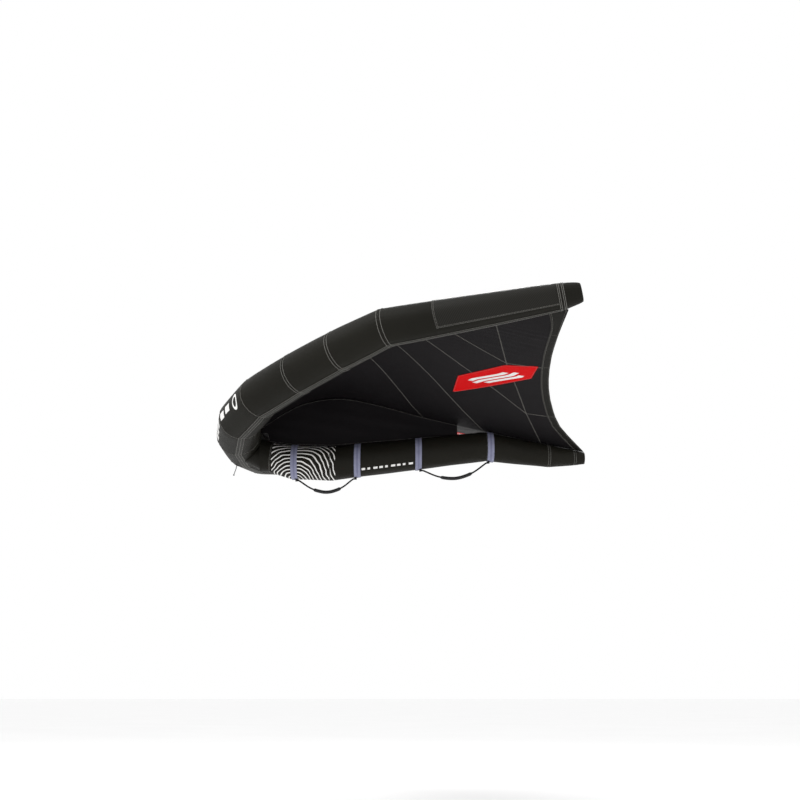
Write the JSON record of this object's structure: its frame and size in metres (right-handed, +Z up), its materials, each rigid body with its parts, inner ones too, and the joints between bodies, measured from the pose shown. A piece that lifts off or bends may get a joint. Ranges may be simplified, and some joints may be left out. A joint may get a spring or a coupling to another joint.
{
  "type": "inflatable hand wing",
  "caption": "Hand-held inflatable wing for surf and foil boards: swept tube with raised tips, central strut, single-skin canopy, webbing straps and two swinging soft handles.",
  "frame": {"origin": "middle of the front grip, where the front hand holds the wing", "axes": "+X aft along the strut, from nose to tail; +Y starboard; +Z up, from the handles to the canopy"},
  "size_m": [2.2485, 2.9378, 0.7627],
  "materials": {
    "tube_fabric": "matte ripstop, olive black",
    "strut_fabric": "matte ripstop, olive black, white contour print at the front",
    "canopy_fabric": "matte ripstop, charcoal, grey seam stitching",
    "trim_fabric": "matte twill, dark olive grey, stitched edges",
    "accent_fabric": "matte, red with a plain white mark",
    "strap_webbing": "woven webbing, blue grey with a darker middle stripe",
    "handle_webbing": "rolled and stitched, black",
    "grip_rubber": "matte, fine ribs",
    "bladder_film": "thin translucent film",
    "valve_plastic": "satin moulded",
    "valve_rubber": "matte",
    "fitting_plastic": "white moulded",
    "hose_rubber": "grey translucent, satin",
    "cord": "braided, grey"
  },
  "bodies": {
    "wing": {"accent_patches": "accent_fabric", "canopy_panel_1_left": "canopy_fabric", "canopy_panel_1_right": "canopy_fabric", "canopy_panel_2_left": "canopy_fabric", "canopy_panel_2_right": "canopy_fabric", "canopy_panel_3_left": "canopy_fabric", "canopy_panel_3_right": "canopy_fabric", "canopy_panel_4_left": "canopy_fabric", "canopy_panel_4_right": "canopy_fabric", "canopy_panel_5_left": "canopy_fabric", "canopy_panel_5_right": "canopy_fabric", "canopy_panel_6_left": "canopy_fabric", "canopy_panel_6_right": "canopy_fabric", "canopy_panel_7_left": "canopy_fabric", "canopy_panel_7_right": "canopy_fabric", "canopy_panel_8_left": "canopy_fabric", "canopy_panel_8_right": "canopy_fabric", "hose_clip": "fitting_plastic", "hose_fittings": "fitting_plastic", "le_bladder": "bladder_film", "le_panel_1_left": "tube_fabric", "le_panel_1_right": "tube_fabric", "le_panel_2_left": "tube_fabric", "le_panel_2_right": "tube_fabric", "le_panel_3_left": "tube_fabric", "le_panel_3_right": "tube_fabric", "le_panel_4_left": "tube_fabric", "le_panel_4_right": "tube_fabric", "le_panel_5_left": "tube_fabric", "le_panel_5_right": "tube_fabric", "le_panel_6_left": "tube_fabric", "le_panel_6_right": "tube_fabric", "le_panel_center": "tube_fabric", "le_tip_cap_left": "tube_fabric", "le_tip_cap_right": "tube_fabric", "leash_knot": "cord", "leash_pigtail": "cord", "leash_tab": "handle_webbing", "link_hose": "hose_rubber", "seam_band": "trim_fabric", "strap_1": "strap_webbing", "strap_2": "strap_webbing", "strap_3": "strap_webbing", "strap_4": "strap_webbing", "strut_bladder": "bladder_film", "strut_end_cap": "strut_fabric", "strut_front": "strut_fabric", "strut_mid": "strut_fabric", "strut_rear": "strut_fabric", "strut_tail": "strut_fabric", "te_bands": "trim_fabric", "tip_patches": "trim_fabric", "valve_base": "valve_plastic", "valve_flap": "valve_rubber", "web_panel": "canopy_fabric"},
    "front_handle": {"front_handle_strap": "handle_webbing", "front_handle_grip": "grip_rubber"},
    "rear_handle": {"rear_handle_strap": "handle_webbing", "rear_handle_grip": "grip_rubber"},
    "valve_cap": {"valve_cap": "valve_plastic"}
  },
  "joints": [
    {"name": "front_handle_swing", "type": "hinge", "parent": "wing", "child": "front_handle", "pos_m": [-0.189, 0, 0.07442], "axis": [0.9995, 0, 0.0301], "range_deg": [-75, 75]},
    {"name": "rear_handle_swing", "type": "hinge", "parent": "wing", "child": "rear_handle", "pos_m": [0.573, 0, 0.13636], "axis": [0.9929, 0, 0.119], "range_deg": [-75, 75]},
    {"name": "valve_cap_hinge", "type": "hinge", "parent": "wing", "child": "valve_cap", "pos_m": [-0.38349, 0.25981, 0.3739], "axis": [-0.2305, -0.9695, -0.0834], "range_deg": [0, 130]}
  ]
}
